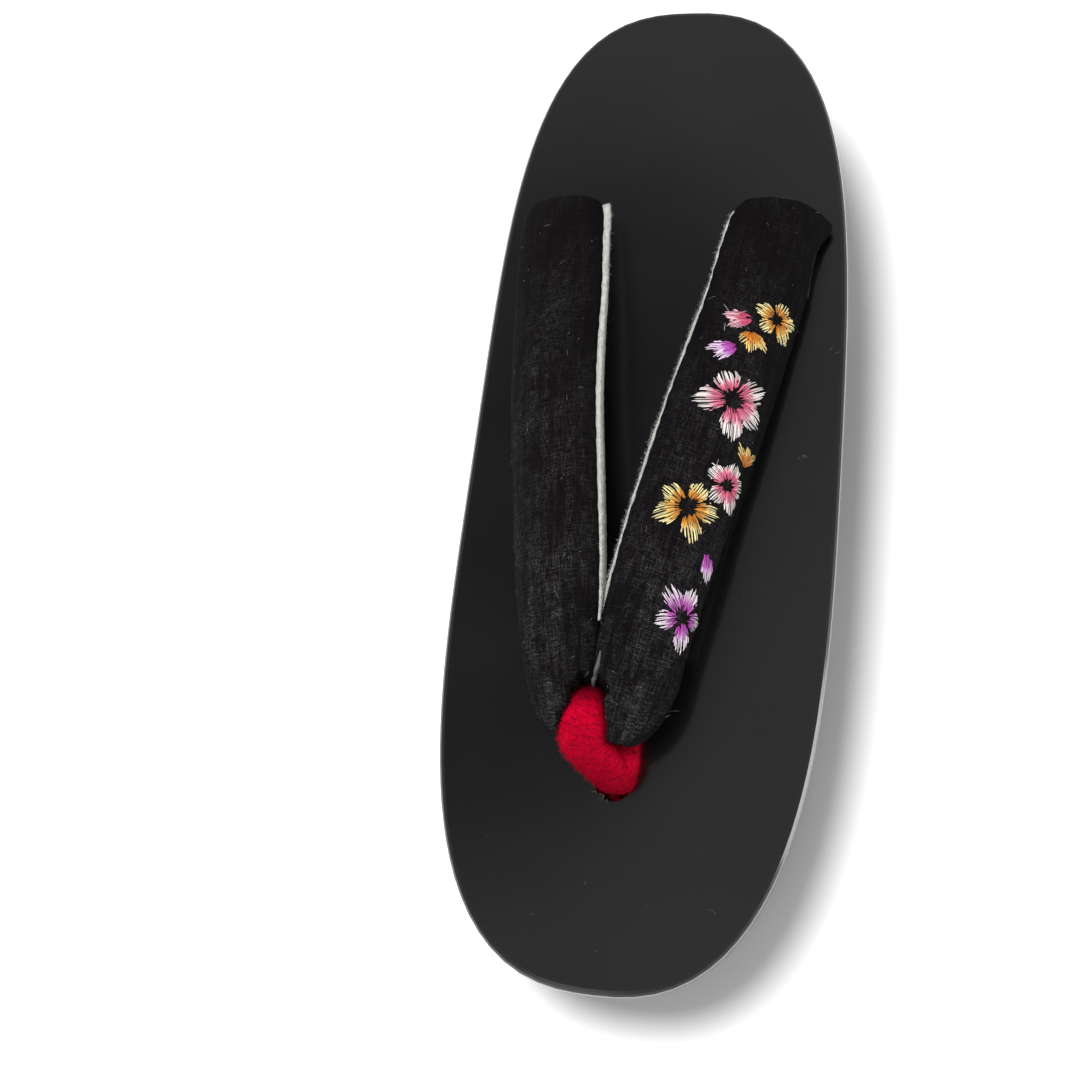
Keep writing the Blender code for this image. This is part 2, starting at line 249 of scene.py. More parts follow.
world = bpy.data.worlds.new("studio")
world.use_nodes = True
sky = Graph(world.node_tree)
direction = sky.add("ShaderNodeTexCoord")
height = sky.split(direction)[2]
brightness = height.ramp(SKY_BAND, (HORIZON_STRENGTH, ZENITH_STRENGTH))
line = STREAK_END - STREAK_START
from_start = sky.vector("SUBTRACT", direction, STREAK_START)
share = sky.vector("DOT_PRODUCT", from_start, line / line.length_squared, output=1)
share = share.math("MINIMUM", 1.0).math("MAXIMUM", 0.0)
nearest = sky.vector("MULTIPLY_ADD", share, line, STREAK_START)
distance = sky.vector("DISTANCE", nearest, direction, output=1)
strength = brightness * distance.ramp(STREAK_BAND, (0.0, 1.0), "SMOOTHSTEP")
background = sky.tree.nodes["Background"]
background.inputs["Color"].default_value = (1, 1, 1, 1)
sky.tree.links.new(strength.socket, background.inputs["Strength"])
scene.world = world
scene.view_settings.view_transform = "Standard"
print("lights:", len(AREA_LIGHTS))

# %% [markdown]
# ## Lacquer on the board
#
# The board of soft wood is painted with black lacquer and rubbed until it is satin. A clear
# coat mirrors softly what is above, over a duller layer that blurs it more. Up close one
# sees orange peel, rubbing marks along the board, a few hairline scratches and specks of
# dust. Stretched noise gives the rubbing marks, and a cell texture gives the specks,
# because its cells never touch.

# %% Lacquer finish
LACQUER_BLACK = (0.0022, 0.0023, 0.0026)
LACQUER_WORN = (0.0040, 0.0041, 0.0044)
DUST = (0.08, 0.08, 0.08)

lacquer = Finish("black_lacquer", IOR=1.5, Coat_Weight=1.0, Coat_IOR=1.5, Coat_Roughness=0.13)
spot = lacquer.place()
cloudy = lacquer.noise(spot, 0.035, detail=4.0)
rubbed = lacquer.noise(lacquer.scaled(spot, (1.0, 0.05, 1.0)), 1.4, detail=5.0, roughness=0.65)
peel = lacquer.noise(spot, 1.7, detail=3.0)
grain_spot = lacquer.scaled(spot, (0.55, 0.018, 0.55))
grain = lacquer.noise(grain_spot, 1.0, detail=3.0, distortion=0.6)
cells = lacquer.add("ShaderNodeTexVoronoi", dict(feature="F1"),
                    {"Vector": spot, "Scale": 0.075, "Randomness": 1.0})
specks = 1 - cells.step(0.010, 0.018)
scratch_spot = lacquer.scaled(spot, (2.2, 0.16, 2.2))
scratches = lacquer.noise(scratch_spot, 0.35, detail=1.0, distortion=3.5)
hairline = 1 - (scratches - 0.5).math("ABSOLUTE").step(0.0010, 0.0040)
rare = lacquer.noise(spot, 0.05, detail=1.0).step(0.56, 0.66)
marks = hairline * rare
tone = lacquer.mix(cloudy.step(0.35, 0.75), LACQUER_BLACK, LACQUER_WORN)
tone = lacquer.mix(marks * 0.08, tone, DUST)
tone = lacquer.mix(specks * 0.55, tone, DUST)
gloss = 0.25 + cloudy * 0.05 + rubbed * 0.04 + specks * 0.3 + marks * 0.05
lacquer.feed(Base_Color=tone, Roughness=gloss)
lacquer.bump(peel * 0.35 + rubbed * 0.25 + grain * 0.8 + specks * 1.2 - marks * 0.1, 0.012)
print("lacquer has", len(lacquer.tree.nodes), "nodes")

# %% [markdown]
# ## Cotton of the straps
#
# The straps are covered with black cotton in a plain weave. Some threads are thicker and
# lighter than the rest, so they draw thin grey lines along and across, and their glints are
# painted into the colour as well. A weave could be a wave texture alone. Here each thread
# also gets its own brightness, from noise that changes fast across the threads and slowly
# along them. A painted highlight makes the crown of the strap lighter than its flanks and
# the cloth lighter toward the toe. The coordinates are millimetres of cloth, so the threads
# bend with the strap.

# %% Cotton finish
THREAD_PITCH = 0.42
COTTON_DARK = (0.0034, 0.0028, 0.0033)
COTTON_GREY_AND_HIGHLIGHT = (0.150, 0.145, 0.145)
CROWN_PLACE = 14.0

cotton = Finish("black_cotton", IOR=1.4, Specular_IOR_Level=0.08)
cloth = cotton.cloth_place()
around, along, _ = cotton.split(cloth)
turn = 2 * math.pi / THREAD_PITCH
warp_wave = (around * turn).math("SINE")
weft_wave = (along * turn).math("SINE")
weave = (warp_wave * weft_wave) * 0.5 + 0.5
warp_slub = cotton.noise(cotton.scaled(cloth, (2.6, 0.35, 0)), 1.0, detail=3.0, roughness=0.7)
weft_slub = cotton.noise(cotton.scaled(cloth, (0.35, 2.6, 7)), 1.0, detail=3.0, roughness=0.7)
streak = cotton.noise(cotton.scaled(cloth, (0.55, 0.05, 3)), 1.0, detail=3.0)
patchy = cotton.noise(cloth, 0.09, detail=3.0) * 0.5 + streak * 0.5
patchy = patchy.step(0.40, 0.64) * 0.88 + 0.12
fleck = cotton.noise(cloth, 3.0, detail=2.0, roughness=0.8).step(0.36, 0.62)
# Painted highlight: the cotton is painted lighter toward the toe.
painted_toe_highlight = along.step(10, 140) * 0.85 + 0.15
bright_warp = warp_slub.step(0.46, 0.66) * (1 - weave)
bright_weft = weft_slub.step(0.46, 0.66) * weave
# Painted highlight: the crown of the strap is painted lighter than its flanks.
off_crown = ((around - CROWN_PLACE) / CROWN_PLACE).math("ABSOLUTE")
crown = (1 - off_crown).step(0.0, 0.8) * 0.65 + 0.35
# Grey threads with painted glints, times the painted highlights on the crown and toward the toe.
grey_threads_and_painted_highlight = (bright_warp + bright_weft) * fleck * patchy * painted_toe_highlight * crown
cotton_tone = cotton.mix(grey_threads_and_painted_highlight.math("MINIMUM", 1.0), COTTON_DARK, COTTON_GREY_AND_HIGHLIGHT)
cotton.feed(Base_Color=cotton_tone, Roughness=0.88 - grey_threads_and_painted_highlight * 0.2)
cotton.bump(weave * 0.6 + warp_slub * 0.5 + weft_slub * 0.5 + fleck * 0.3, 0.05)
print("weave of", THREAD_PITCH, "mm")

# %% [markdown]
# ## Lining, embroidery thread and red pile
#
# The lining is a brushed off-white cloth: a soft mottled white with no clear weave. The
# embroidery thread takes its colour from the mesh, where every thread is stained from its
# root to its tip, and is a little glossy. The thong is a dense pile that is ribbed across,
# with painted shade in the valleys of the ribs, and painted shade darkens its end where it
# goes in between the straps.

# %% Lining finish
LINING_SHADE = (0.22, 0.22, 0.21)
LINING_LIGHT = (0.56, 0.56, 0.52)

lining = Finish("brushed_lining", Sheen_Weight=0.25, Sheen_Roughness=0.5, Specular_IOR_Level=0.2)
spot = lining.place()
mottle = lining.noise(spot, 0.9, detail=4.0, roughness=0.7)
nap = lining.noise(lining.scaled(spot, (3.0, 0.7, 3.0)), 1.6, detail=4.0, roughness=0.75)
lining_tone = lining.mix(mottle.step(0.30, 0.62) * 0.6 + nap.step(0.35, 0.65) * 0.4,
                         LINING_SHADE, LINING_LIGHT)
lining.feed(Base_Color=lining_tone, Roughness=0.95 - nap * 0.1)
lining.bump(nap + mottle * 0.5, 0.18)

# %% Embroidery finish
floss = Finish("embroidery_floss", Roughness=0.32, Specular_IOR_Level=0.6)
stain = floss.add("ShaderNodeVertexColor", dict(layer_name="stain"))
floss.feed(Base_Color=stain)

# %% Red pile finish
CRIMSON_DEEP = (0.21, 0.0008, 0.0100)
CRIMSON = (0.50, 0.0008, 0.0235)
CRIMSON_IN_PAINTED_SHADE = (0.030, 0.0003, 0.0025)
PAINTED_SHADE_BAND = (-63.0, -57.0)
RIB_MM = 1.35

pile = Finish("red_pile", Sheen_Weight=0.10, Sheen_Roughness=0.35, Specular_IOR_Level=0.08,
              Sheen_Tint=(1.0, 0.03, 0.12, 1))
spot = pile.place()
tuft = pile.noise(spot, 3.2, detail=3.0, roughness=0.7)
_, toe_to_heel, _ = pile.split(spot)
ribs_spot = pile.cloth_place()
_, rib_along, _ = pile.split(ribs_spot)
wobble = pile.noise(ribs_spot, 0.45, detail=2.0)
rib = ((rib_along + wobble * 1.4) * (2 * math.pi / RIB_MM)).math("SINE") * 0.5 + 0.5
broken = pile.noise(ribs_spot, 0.7, detail=2.0).step(0.42, 0.56)
# Painted shade: the valleys between the ribs are painted darker.
painted_valley_shade = (1 - rib).step(0.62, 1.0) * broken
pile_tone = pile.mix(painted_valley_shade * 0.85 + (1 - tuft.step(0.30, 0.60)) * 0.15, CRIMSON, CRIMSON_DEEP)
# Painted shade: the end of the thong that goes in between the straps is painted dark.
painted_strap_shade = toe_to_heel.step(*PAINTED_SHADE_BAND)
pile_tone = pile.mix(painted_strap_shade * 0.9, pile_tone, CRIMSON_IN_PAINTED_SHADE)
pile.feed(Base_Color=pile_tone, Roughness=0.95 - tuft * 0.1)
pile.bump(rib * broken * 0.8 + tuft * 0.8, 0.14)
print("materials:", len(bpy.data.materials))

# %% [markdown]
# ## The shape of a strap
#
# A padded strap is a long pillow whose section changes along its way: small at its ends,
# about 24 mm wide in the middle, and leaning outward where it crosses the foot. A table of
# sections, joined by a smooth curve, says this in a few rows; a curve object with a bevel
# can't lean and flatten as freely. The columns are shares: of the board's length and width,
# of the strap's rise, width and thickness.

# %% Sizes and sections of the straps
LENGTH = 237 * MM
WIDTH = 86 * MM
HEEL_HEIGHT = 37.2 * MM
TOE_HEIGHT = 26.8 * MM
STRAP_WIDTH = 24 * MM
STRAP_THICKNESS = 10.5 * MM
STRAP_RISE = 17 * MM
STRAP_CROWN = 0.58
STRAP_SIZE = (STRAP_WIDTH, STRAP_THICKNESS, STRAP_CROWN)
PAD_SQUARENESS = 0.86
REST_GAP = 0.3 * MM
TABLE_STEPS = 8
ROW_SPACING = 0.9 * MM
OUTER_LIMB = [
    # along, side, rise, wide, thick, lean in degrees
    (0.2644, 0.290, 0.24, 0.38, 0.34, 8),
    (0.2615, 0.290, 0.25, 0.62, 0.56, 9),
    (0.2525, 0.289, 0.28, 0.83, 0.80, 11),
    (0.2337, 0.285, 0.31, 0.92, 0.94, 13),
    (0.2020, 0.270, 0.36, 0.93, 1.00, 15),
    (0.1475, 0.246, 0.44, 0.94, 1.00, 19),
    (0.0881, 0.213, 0.56, 0.97, 1.00, 25),
    (0.0187, 0.173, 0.71, 0.98, 1.00, 29),
    (-0.0605, 0.127, 0.87, 0.95, 1.00, 31),
    (-0.1299, 0.091, 0.98, 0.91, 1.00, 29),
    (-0.1893, 0.061, 1.00, 0.86, 0.98, 25),
    (-0.2339, 0.041, 0.94, 0.80, 0.94, 20),
    (-0.2587, 0.0285, 0.88, 0.66, 0.84, 17),
    (-0.2755, 0.017, 0.82, 0.46, 0.66, 14),
    (-0.2840, 0.011, 0.79, 0.27, 0.42, 12),
]
INNER_LIMB = [
    # along, side, rise, wide, thick, lean in degrees
    (0.2655, -0.305, 0.24, 0.36, 0.34, 8),
    (0.2625, -0.305, 0.25, 0.60, 0.56, 9),
    (0.2536, -0.304, 0.28, 0.80, 0.80, 10),
    (0.2347, -0.299, 0.32, 0.89, 0.94, 12),
    (0.2030, -0.292, 0.38, 0.93, 1.00, 15),
    (0.1484, -0.276, 0.49, 0.97, 1.00, 19),
    (0.0889, -0.259, 0.62, 0.99, 1.00, 23),
    (0.0194, -0.236, 0.76, 0.99, 1.00, 25),
    (-0.0600, -0.200, 0.90, 0.97, 1.00, 26),
    (-0.1294, -0.171, 0.99, 0.93, 1.00, 24),
    (-0.1890, -0.146, 1.00, 0.83, 0.98, 22),
    (-0.2336, -0.129, 0.94, 0.70, 0.92, 18),
    (-0.2584, -0.121, 0.88, 0.58, 0.82, 15),
    (-0.2733, -0.118, 0.82, 0.44, 0.64, 12),
    (-0.2802, -0.120, 0.79, 0.30, 0.40, 10),
]


def board_top(along):
    """Height of the board's top above the floor, at a place along Y in metres."""
    return TOE_HEIGHT + (HEEL_HEIGHT - TOE_HEIGHT) * (along / LENGTH + 0.5)


def smooth_rows(rows, steps):
    """Rows between the rows of a table, on a curve that passes through each of them."""
    table = np.array([rows[0], *rows, rows[-1]], dtype=float)
    result = []
    for p0, p1, p2, p3 in zip(table, table[1:], table[2:], table[3:]):
        for step in range(steps):
            t = step / steps
            bend = (2 * p0 - 5 * p1 + 4 * p2 - p3) * t * t
            twist = (3 * p1 - p0 - 3 * p2 + p3) * t ** 3
            result.append(0.5 * (2 * p1 + (p2 - p0) * t + bend + twist))
    return np.array([*result, table[-1]])


def run_of(path):
    """How far along a path each of its points lies."""
    return np.concatenate([[0], np.cumsum(np.linalg.norm(np.diff(path, axis=0), axis=1))])


def evenly(rows, spacing):
    """The same rows again, but spaced evenly along the strap."""
    run = run_of(path_of(rows))
    marks = np.linspace(0, run[-1], int(run[-1] / spacing) + 1)
    return np.stack([np.interp(marks, run, column) for column in rows.T], axis=1)


def path_of(rows):
    """The middle line of a strap, from the first three columns of its table."""
    y = rows[:, 0] * LENGTH
    return np.stack([rows[:, 1] * WIDTH, y, board_top(y) + rows[:, 2] * STRAP_RISE], axis=1)


def unit(vectors):
    return vectors / np.linalg.norm(vectors, axis=-1, keepdims=True)


def frames_of(rows, outward):
    """The middle line, and at each row the directions across the strap and up out of it."""
    path = path_of(rows)
    ahead = unit(np.gradient(path, axis=0))
    across = unit(np.array([outward, 0, 0]) - ahead * ahead[:, :1] * outward)
    raised = np.cross(ahead, across) * outward
    if rows.shape[1] > 5:
        lean = np.radians(rows[:, 5:6])
        across, raised = (across * np.cos(lean) - raised * np.sin(lean),
                          raised * np.cos(lean) + across * np.sin(lean))
    return path, across, raised


def sections(rows, outward, size, degrees, grow=0.0):
    """Points around every row: degrees counts from the outer edge over the top."""
    path, across, raised = frames_of(rows, outward)
    width, thickness, crown = size
    angle = np.radians(degrees)
    cosine, sine = np.cos(angle), np.sin(angle)
    fullness = np.where(sine > 0, crown, 1 - crown)
    out = np.sign(cosine) * np.abs(cosine) ** PAD_SQUARENESS
    up = np.sign(sine) * np.abs(sine) ** PAD_SQUARENESS
    half = width * rows[:, 3:4] / 2 + grow
    high = thickness * rows[:, 4:5] * fullness + grow
    return (path[:, None] + across[:, None] * (out * half)[..., None]
            + raised[:, None] * (up * high)[..., None])


def rest(points, gap=REST_GAP):
    """Flatten what would sink into the board."""
    points[..., 2] = np.maximum(points[..., 2], board_top(points[..., 1]) + gap)
    return points


outer_rows = evenly(smooth_rows(OUTER_LIMB, TABLE_STEPS), ROW_SPACING)
inner_rows = evenly(smooth_rows(INNER_LIMB, TABLE_STEPS), ROW_SPACING)
print("sections:", len(outer_rows), len(inner_rows))

# %% [markdown]
# ## From sections to a mesh
#
# The rings of points are joined into a closed skin. Every corner of every face also gets
# its place on the flat cloth, in millimetres, so that the weave follows the strap.

# %% Skin through rings
def add_piece(name, verts, faces, finish):
    """A mesh object that rides on the sandal."""
    mesh = bpy.data.meshes.new(name)
    mesh.from_pydata(verts, [], faces)
    mesh.shade_smooth()
    mesh.materials.append(finish.material)
    piece = bpy.data.objects.new(name, mesh)
    scene.collection.objects.link(piece)
    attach(piece, "root")
    return piece


def ring_faces(rings, count, first=0):
    """The four-sided faces between rings of points."""
    faces = []
    for low in range(first, first + (rings - 1) * count, count):
        for k in range(count):
            n = (k + 1) % count
            faces.append((low + k, low + n, low + count + n, low + count + k))
    return faces


def skin(name, rings, finish):
    """Join rings of points into a tube with domed ends, with its cloth coordinates."""
    rows, count = rings.shape[:2]
    ends = np.array([rings[0].mean(axis=0), rings[-1].mean(axis=0)])
    verts = np.concatenate([rings.reshape(-1, 3), ends])
    girth = np.linalg.norm(np.roll(rings, -1, axis=1) - rings, axis=2)
    around = np.concatenate([[0], np.cumsum(np.median(girth, axis=0))]) / MM
    along = run_of(rings.mean(axis=1)) / MM
    faces, places = ring_faces(rows, count), []
    for i in range(rows - 1):
        for k in range(count):
            places += [(around[k], along[i]), (around[k + 1], along[i]),
                       (around[k + 1], along[i + 1]), (around[k], along[i + 1])]
    for end, row, tip in ((0, 0, -1), (1, rows - 1, 1)):
        for k in range(count):
            n = (k + 1) % count
            pair = (row * count + n, row * count + k)
            faces.append((*(pair if end == 0 else pair[::-1]), rows * count + end))
            spots = [(around[k + 1], along[row]), (around[k], along[row])]
            places += [*(spots if end == 0 else spots[::-1]),
                       ((around[k] + around[k + 1]) / 2, along[row] + tip)]
    piece = add_piece(name, verts.tolist(), faces, finish)
    layer = piece.data.uv_layers.new(name="cloth")
    layer.data.foreach_set("uv", np.array(places, dtype=np.float32).ravel())
    face_outward(piece)
    return piece


def face_outward(piece):
    """Turn all faces so that they point out of a closed body."""
    shape = bmesh.new()
    shape.from_mesh(piece.data)
    bmesh.ops.recalc_face_normals(shape, faces=shape.faces)
    shape.to_mesh(piece.data)
    shape.free()


print("skins ready")

# %% [markdown]
# ## Board
#
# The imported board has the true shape, but its curved sides are narrow flat strips. A fresh
# piece takes over its points, with the doubled ones joined, and its sides are shaded smooth
# except over real edges. The top and the underside stay flat.

# %% Board with smooth sides
JOIN_REACH = 0.01 * MM
SHARP_ANGLE = 11
FLAT_RISE = 0.995

shape = bmesh.new()
shape.from_mesh(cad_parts["sole"].data)
bmesh.ops.remove_doubles(shape, verts=shape.verts, dist=JOIN_REACH)
shape.verts.index_update()
verts = [vertex.co[:] for vertex in shape.verts]
faces = [[vertex.index for vertex in face.verts] for face in shape.faces]
shape.free()
board = add_piece("board", verts, faces, lacquer)
board.data.set_sharp_from_angle(angle=math.radians(SHARP_ANGLE))
for face in board.data.polygons:
    face.use_smooth = abs(face.normal.z) < FLAT_RISE
even = board.modifiers.new("even_shading", "WEIGHTED_NORMAL")
even.keep_sharp = True
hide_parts("sole")
print("board has", len(board.data.polygons), "faces")

# %% [markdown]
# ## Padded straps
#
# The cover of a strap is sewn into a tube, turned and stuffed, so it puckers along both
# seams, folds into small pleats at its hind end, and goes flat where the two straps press on
# each other behind the toes. The puckers and pleats are moves of the points, worked out from
# each point's place around and along the strap. The outer strap also has a small ear and a
# waist on its outer edge. Then a short cloth simulation blows the cover up from inside, so
# the stuffing rounds it, and no point may move further than half a millimetre.

# %% Outer and inner strap
RING_POINTS = 56
STUFFING_PRESSURE = 4.0
STUFFING_FRAMES = 20
STUFFING_REACH = 0.5 * MM
SEAM_DEGREES = (0, 180)
SEAM_SPREAD = 24
SEAM_WAVES = ((3.1, 0.055), (4.7, 0.07), (7.3, 0.06))  # length and height in mm
SEAM_DRIFT = 19 * MM
PLEATS = ((9, 0.16), (17, 0.08))  # number around the strap, height in mm
PLEAT_REACH = 5.5 * MM
LUMPS = ((11, 0.10), (23, 0.14))  # length and height in mm
PRESS_CLEARANCE = 0.05 * MM
EDGE_SPREAD = 18
PRESS_LINE = (-3.7 * MM, -44.6 * MM, 0.05)
EAR_PLACE = 58.8 * MM
EAR_LENGTHS = (3.2 * MM, 2.6 * MM)
EAR_REACH = 2.8 * MM
WAIST_PLACE = 49.5 * MM
WAIST_LENGTH = 4.5 * MM
WAIST_DEPTH = 1.1 * MM


def bell(offset, width):
    """1 at offset 0, falling to 0 on both sides of it."""
    return np.exp(-(offset / width) ** 2)


def near_angle(degrees, target, width):
    return bell(np.abs((degrees - target + 180) % 360 - 180), width)


def push_out(rings, path, distance):
    """Move the points of rings straight out from their middle line."""
    return rings + unit(rings - path[:, None]) * distance[..., None]


def pucker(rings, degrees, rows, seed):
    """Small folds along both seams and pleats at the hind end."""
    draw = np.random.default_rng(seed)
    path = path_of(rows)
    along = run_of(path)
    move = np.zeros(rings.shape[:2])
    for seam in SEAM_DEGREES:
        for wave, strength in SEAM_WAVES:
            shift = draw.uniform(0, 2 * math.pi)
            drift = np.sin(along / SEAM_DRIFT + draw.uniform(0, 6)) * 0.9
            ripple = np.sin(along / (wave * MM) * 2 * math.pi + shift + drift)
            move += near_angle(degrees, seam, SEAM_SPREAD) * ripple[:, None] * strength * MM
    pleats = sum(np.sin(np.radians(degrees) * number + draw.uniform(0, 6)) * strength
                 for number, strength in PLEATS)
    move += bell(along, PLEAT_REACH)[:, None] * pleats * MM
    for size, strength in LUMPS:
        shift = draw.uniform(0, 6, 2)
        lump = np.sin(along / (size * MM) * 2 + shift[0])[:, None]
        move += lump * np.sin(np.radians(degrees) * 2 + shift[1]) * strength * MM
    return push_out(rings, path, move)


def ear_and_waist(rings, degrees, rows, outward):
    """Pull the outer edge out to a small ear near the hind end, and in ahead of it."""
    y = rows[:, 0] * LENGTH
    ear = bell(y - EAR_PLACE, np.where(y > EAR_PLACE, *EAR_LENGTHS))
    waist = bell(y - WAIST_PLACE, WAIST_LENGTH)
    shift = (ear * EAR_REACH - waist * WAIST_DEPTH)[:, None]
    across = frames_of(rows, outward)[1]
    return rings + across[:, None] * (shift * near_angle(degrees, 0, EDGE_SPREAD))[..., None]


def press_together(points, side):
    """Keep a strap on its own side of the line where both straps meet."""
    x0, y0, slope = PRESS_LINE
    meeting = x0 + (points[..., 1] - y0) * slope + side * PRESS_CLEARANCE
    keep = np.maximum if side > 0 else np.minimum
    points[..., 0] = keep(points[..., 0], meeting)
    return points


def points_of(mesh):
    """Where the points of a mesh are, one row each."""
    places = np.empty(len(mesh.vertices) * 3)
    mesh.vertices.foreach_get("co", places)
    return places.reshape(-1, 3)


def move_points(mesh, points):
    mesh.vertices.foreach_set("co", points.ravel())
    mesh.update()


def stuff(piece):
    """Blow the cover up from inside with a short cloth simulation, then keep the result."""
    before = points_of(piece.data)
    modifier = piece.modifiers.new("stuffing", "CLOTH")
    settings = modifier.settings
    settings.quality = 4
    settings.use_pressure = True
    settings.uniform_pressure_force = STUFFING_PRESSURE
    settings.effector_weights.gravity = 0
    modifier.collision_settings.use_collision = False
    modifier.point_cache.frame_start = 1
    modifier.point_cache.frame_end = STUFFING_FRAMES
    for number in range(1, STUFFING_FRAMES + 1):
        scene.frame_set(number)
    soft = piece.evaluated_get(bpy.context.evaluated_depsgraph_get()).to_mesh()
    move = points_of(soft) - before
    piece.modifiers.remove(modifier)
    scene.frame_set(1)
    size = np.linalg.norm(move, axis=1, keepdims=True)
    move *= np.minimum(1, STUFFING_REACH / np.maximum(size, 1e-9))
    move_points(piece.data, before + move)
    return float(size.max()), float(size.mean())


def refine(piece):
    """Halve every face and round the result: one step of subdivision, applied."""
    modifier = piece.modifiers.new("rounding", "SUBSURF")
    modifier.levels = 1
    rounded = piece.evaluated_get(bpy.context.evaluated_depsgraph_get())
    coarse, piece.data = piece.data, bpy.data.meshes.new_from_object(rounded)
    piece.modifiers.remove(modifier)
    bpy.data.meshes.remove(coarse)


def make_strap(name, rows, outward, seed):
    """One padded strap, stuffed and smoothed."""
    degrees = np.arange(RING_POINTS) * 360 / RING_POINTS
    rings = sections(rows, outward, STRAP_SIZE, degrees)
    rings = pucker(rings, degrees, rows, seed)
    if outward > 0:
        rings = ear_and_waist(rings, degrees, rows, outward)
    strap = skin(name, rings, cotton)
    print(name, "swelled by at most and on average (mm):",
          [round(value / MM, 3) for value in stuff(strap)])
    refine(strap)
    move_points(strap.data, press_together(rest(points_of(strap.data)), outward))
    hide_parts("upper")
    return strap


outer_strap = make_strap("outer_strap", outer_rows, 1, 11)
inner_strap = make_strap("inner_strap", inner_rows, -1, 12)
print("straps:", len(outer_strap.data.polygons), "and", len(inner_strap.data.polygons), "faces")

# %% [markdown]
# ## Front thong
#
# The thong is one soft tube of red pile. It comes up through the front hole, passes over
# the place where the straps meet and turns back down below. It is modelled as two legs with
# oval sections, ribbed across, because the pile is gathered where it bends. The padding
# gives way: the points of the straps that would be in or over the thong move down, under it.

# %% The two legs of the thong
THONG_WIDTH = 12.5 * MM
THONG_THICKNESS = 5.4 * MM
THONG_SIZE = (THONG_WIDTH, THONG_THICKNESS, 0.5)
THONG_STEPS = 12
THONG_OVER_PADDING = slice(2, 9)
THONG_POINTS = 40
THONG_SPACING = 0.3 * MM
RIB_PITCH = RIB_MM * MM
RIB_HEIGHT = 0.10 * MM
PRESS_GAP = 0.1 * MM
CREASE_SLOPE = 3.0
LEG_STEEPNESS = 1.3
THONG_OVER = [
    # along, side, rise, wide, thick
    (-0.3110, -0.008, -0.10, 0.60, 0.84),
    (-0.3105, -0.008, 0.02, 0.66, 0.90),
    (-0.3070, -0.008, 0.24, 0.76, 0.96),
    (-0.2990, -0.034, 0.50, 0.80, 1.00),
    (-0.2872, -0.070, 0.80, 0.80, 1.00),
    (-0.2720, -0.066, 1.00, 0.76, 0.98),
    (-0.2590, -0.060, 1.07, 0.58, 0.95),
    (-0.2500, -0.060, 0.98, 0.46, 0.90),
    (-0.2450, -0.056, 0.76, 0.36, 0.85),
    (-0.2460, -0.050, 0.54, 0.38, 0.85),
]
THONG_UNDER = [
    # along, side, rise, wide, thick
    (-0.2450, -0.052, 0.70, 0.34, 0.80),
    (-0.2465, -0.046, 0.52, 0.38, 0.84),
    (-0.2540, -0.023, 0.36, 0.50, 0.86),
    (-0.2685, 0.001, 0.29, 0.58, 0.88),
    (-0.2864, 0.016, 0.38, 0.56, 0.98),
    (-0.2975, 0.016, 0.34, 0.58, 0.98),
    (-0.3075, 0.004, 0.18, 0.52, 0.90),
]


def make_leg(name, table, seed):
    """One leg of the thong, ribbed across its length."""
    draw = np.random.default_rng(seed)
    rows = evenly(smooth_rows(table, THONG_STEPS), THONG_SPACING)
    degrees = np.arange(THONG_POINTS) * 360 / THONG_POINTS
    rings = sections(rows, 1, THONG_SIZE, degrees)
    path = path_of(rows)
    sway = np.sin(np.radians(degrees) * 2 + draw.uniform(0, 6)) * 0.9
    rib = np.sin(run_of(path)[:, None] / RIB_PITCH * 2 * math.pi + sway)
    rings = push_out(rings, path, rib * RIB_HEIGHT)
    if table[0][2] > 0:
        rings = rest(rings)
    return skin(name, rings, pile)


thong_over = make_leg("thong_over", THONG_OVER, 21)
thong_under = make_leg("thong_under", THONG_UNDER, 22)
for leg in (thong_over, thong_under):
    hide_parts("front_thong")


def press_under(strap):
    """Press the padding down below the thong, with a crease along both of its sides."""
    rows = smooth_rows(THONG_OVER[THONG_OVER_PADDING], THONG_STEPS)
    middle = path_of(rows)
    order = np.argsort(middle[:, 1])
    points = points_of(strap.data)
    x, y = points[:, 0], points[:, 1]
    columns = (middle[:, 0], middle[:, 2], rows[:, 3] * THONG_WIDTH / 2,
               rows[:, 4] * THONG_THICKNESS / 2 * LEG_STEEPNESS)
    centre, height, half, deep = (np.interp(y, middle[order, 1], column[order])
                                  for column in columns)
    away = np.abs(x - centre)
    below = height - deep * np.sqrt(np.maximum(0, 1 - (away / half) ** 2))
    beside = np.maximum(0, away - half) + np.maximum(0, y - middle[:, 1].max())
    limit = below - PRESS_GAP + beside * CREASE_SLOPE
    sunk = points[:, 2] > limit
    points[:, 2] = np.minimum(points[:, 2], limit)
    move_points(strap.data, points)
    return int(sunk.sum())


for strap in (outer_strap, inner_strap):
    print(strap.name, "points pressed down by the thong:", press_under(strap))

# %% [markdown]
# ## Lining under the straps
#
# The side of a strap that touches the foot is lined with soft brushed cloth. It is sewn on
# along both edges, so from above only its inner edge shows, as a pale line. It is a thin
# shell that follows the lower half of each strap and stands a little proud at the seams.

# %% Lining of both straps
LINING_POINTS = 30
LINING_PROUD = 0.25 * MM
LINING_INSIDE = -0.5 * MM
LINING_END = 334
LINING_STOP = -44.5 * MM
LINING_FIRST_ROW = 4
LINING_REST = (0.05 * MM, 0.15 * MM)
LIP_SPREAD = 13
LINING_RAGGED = 0.05 * MM


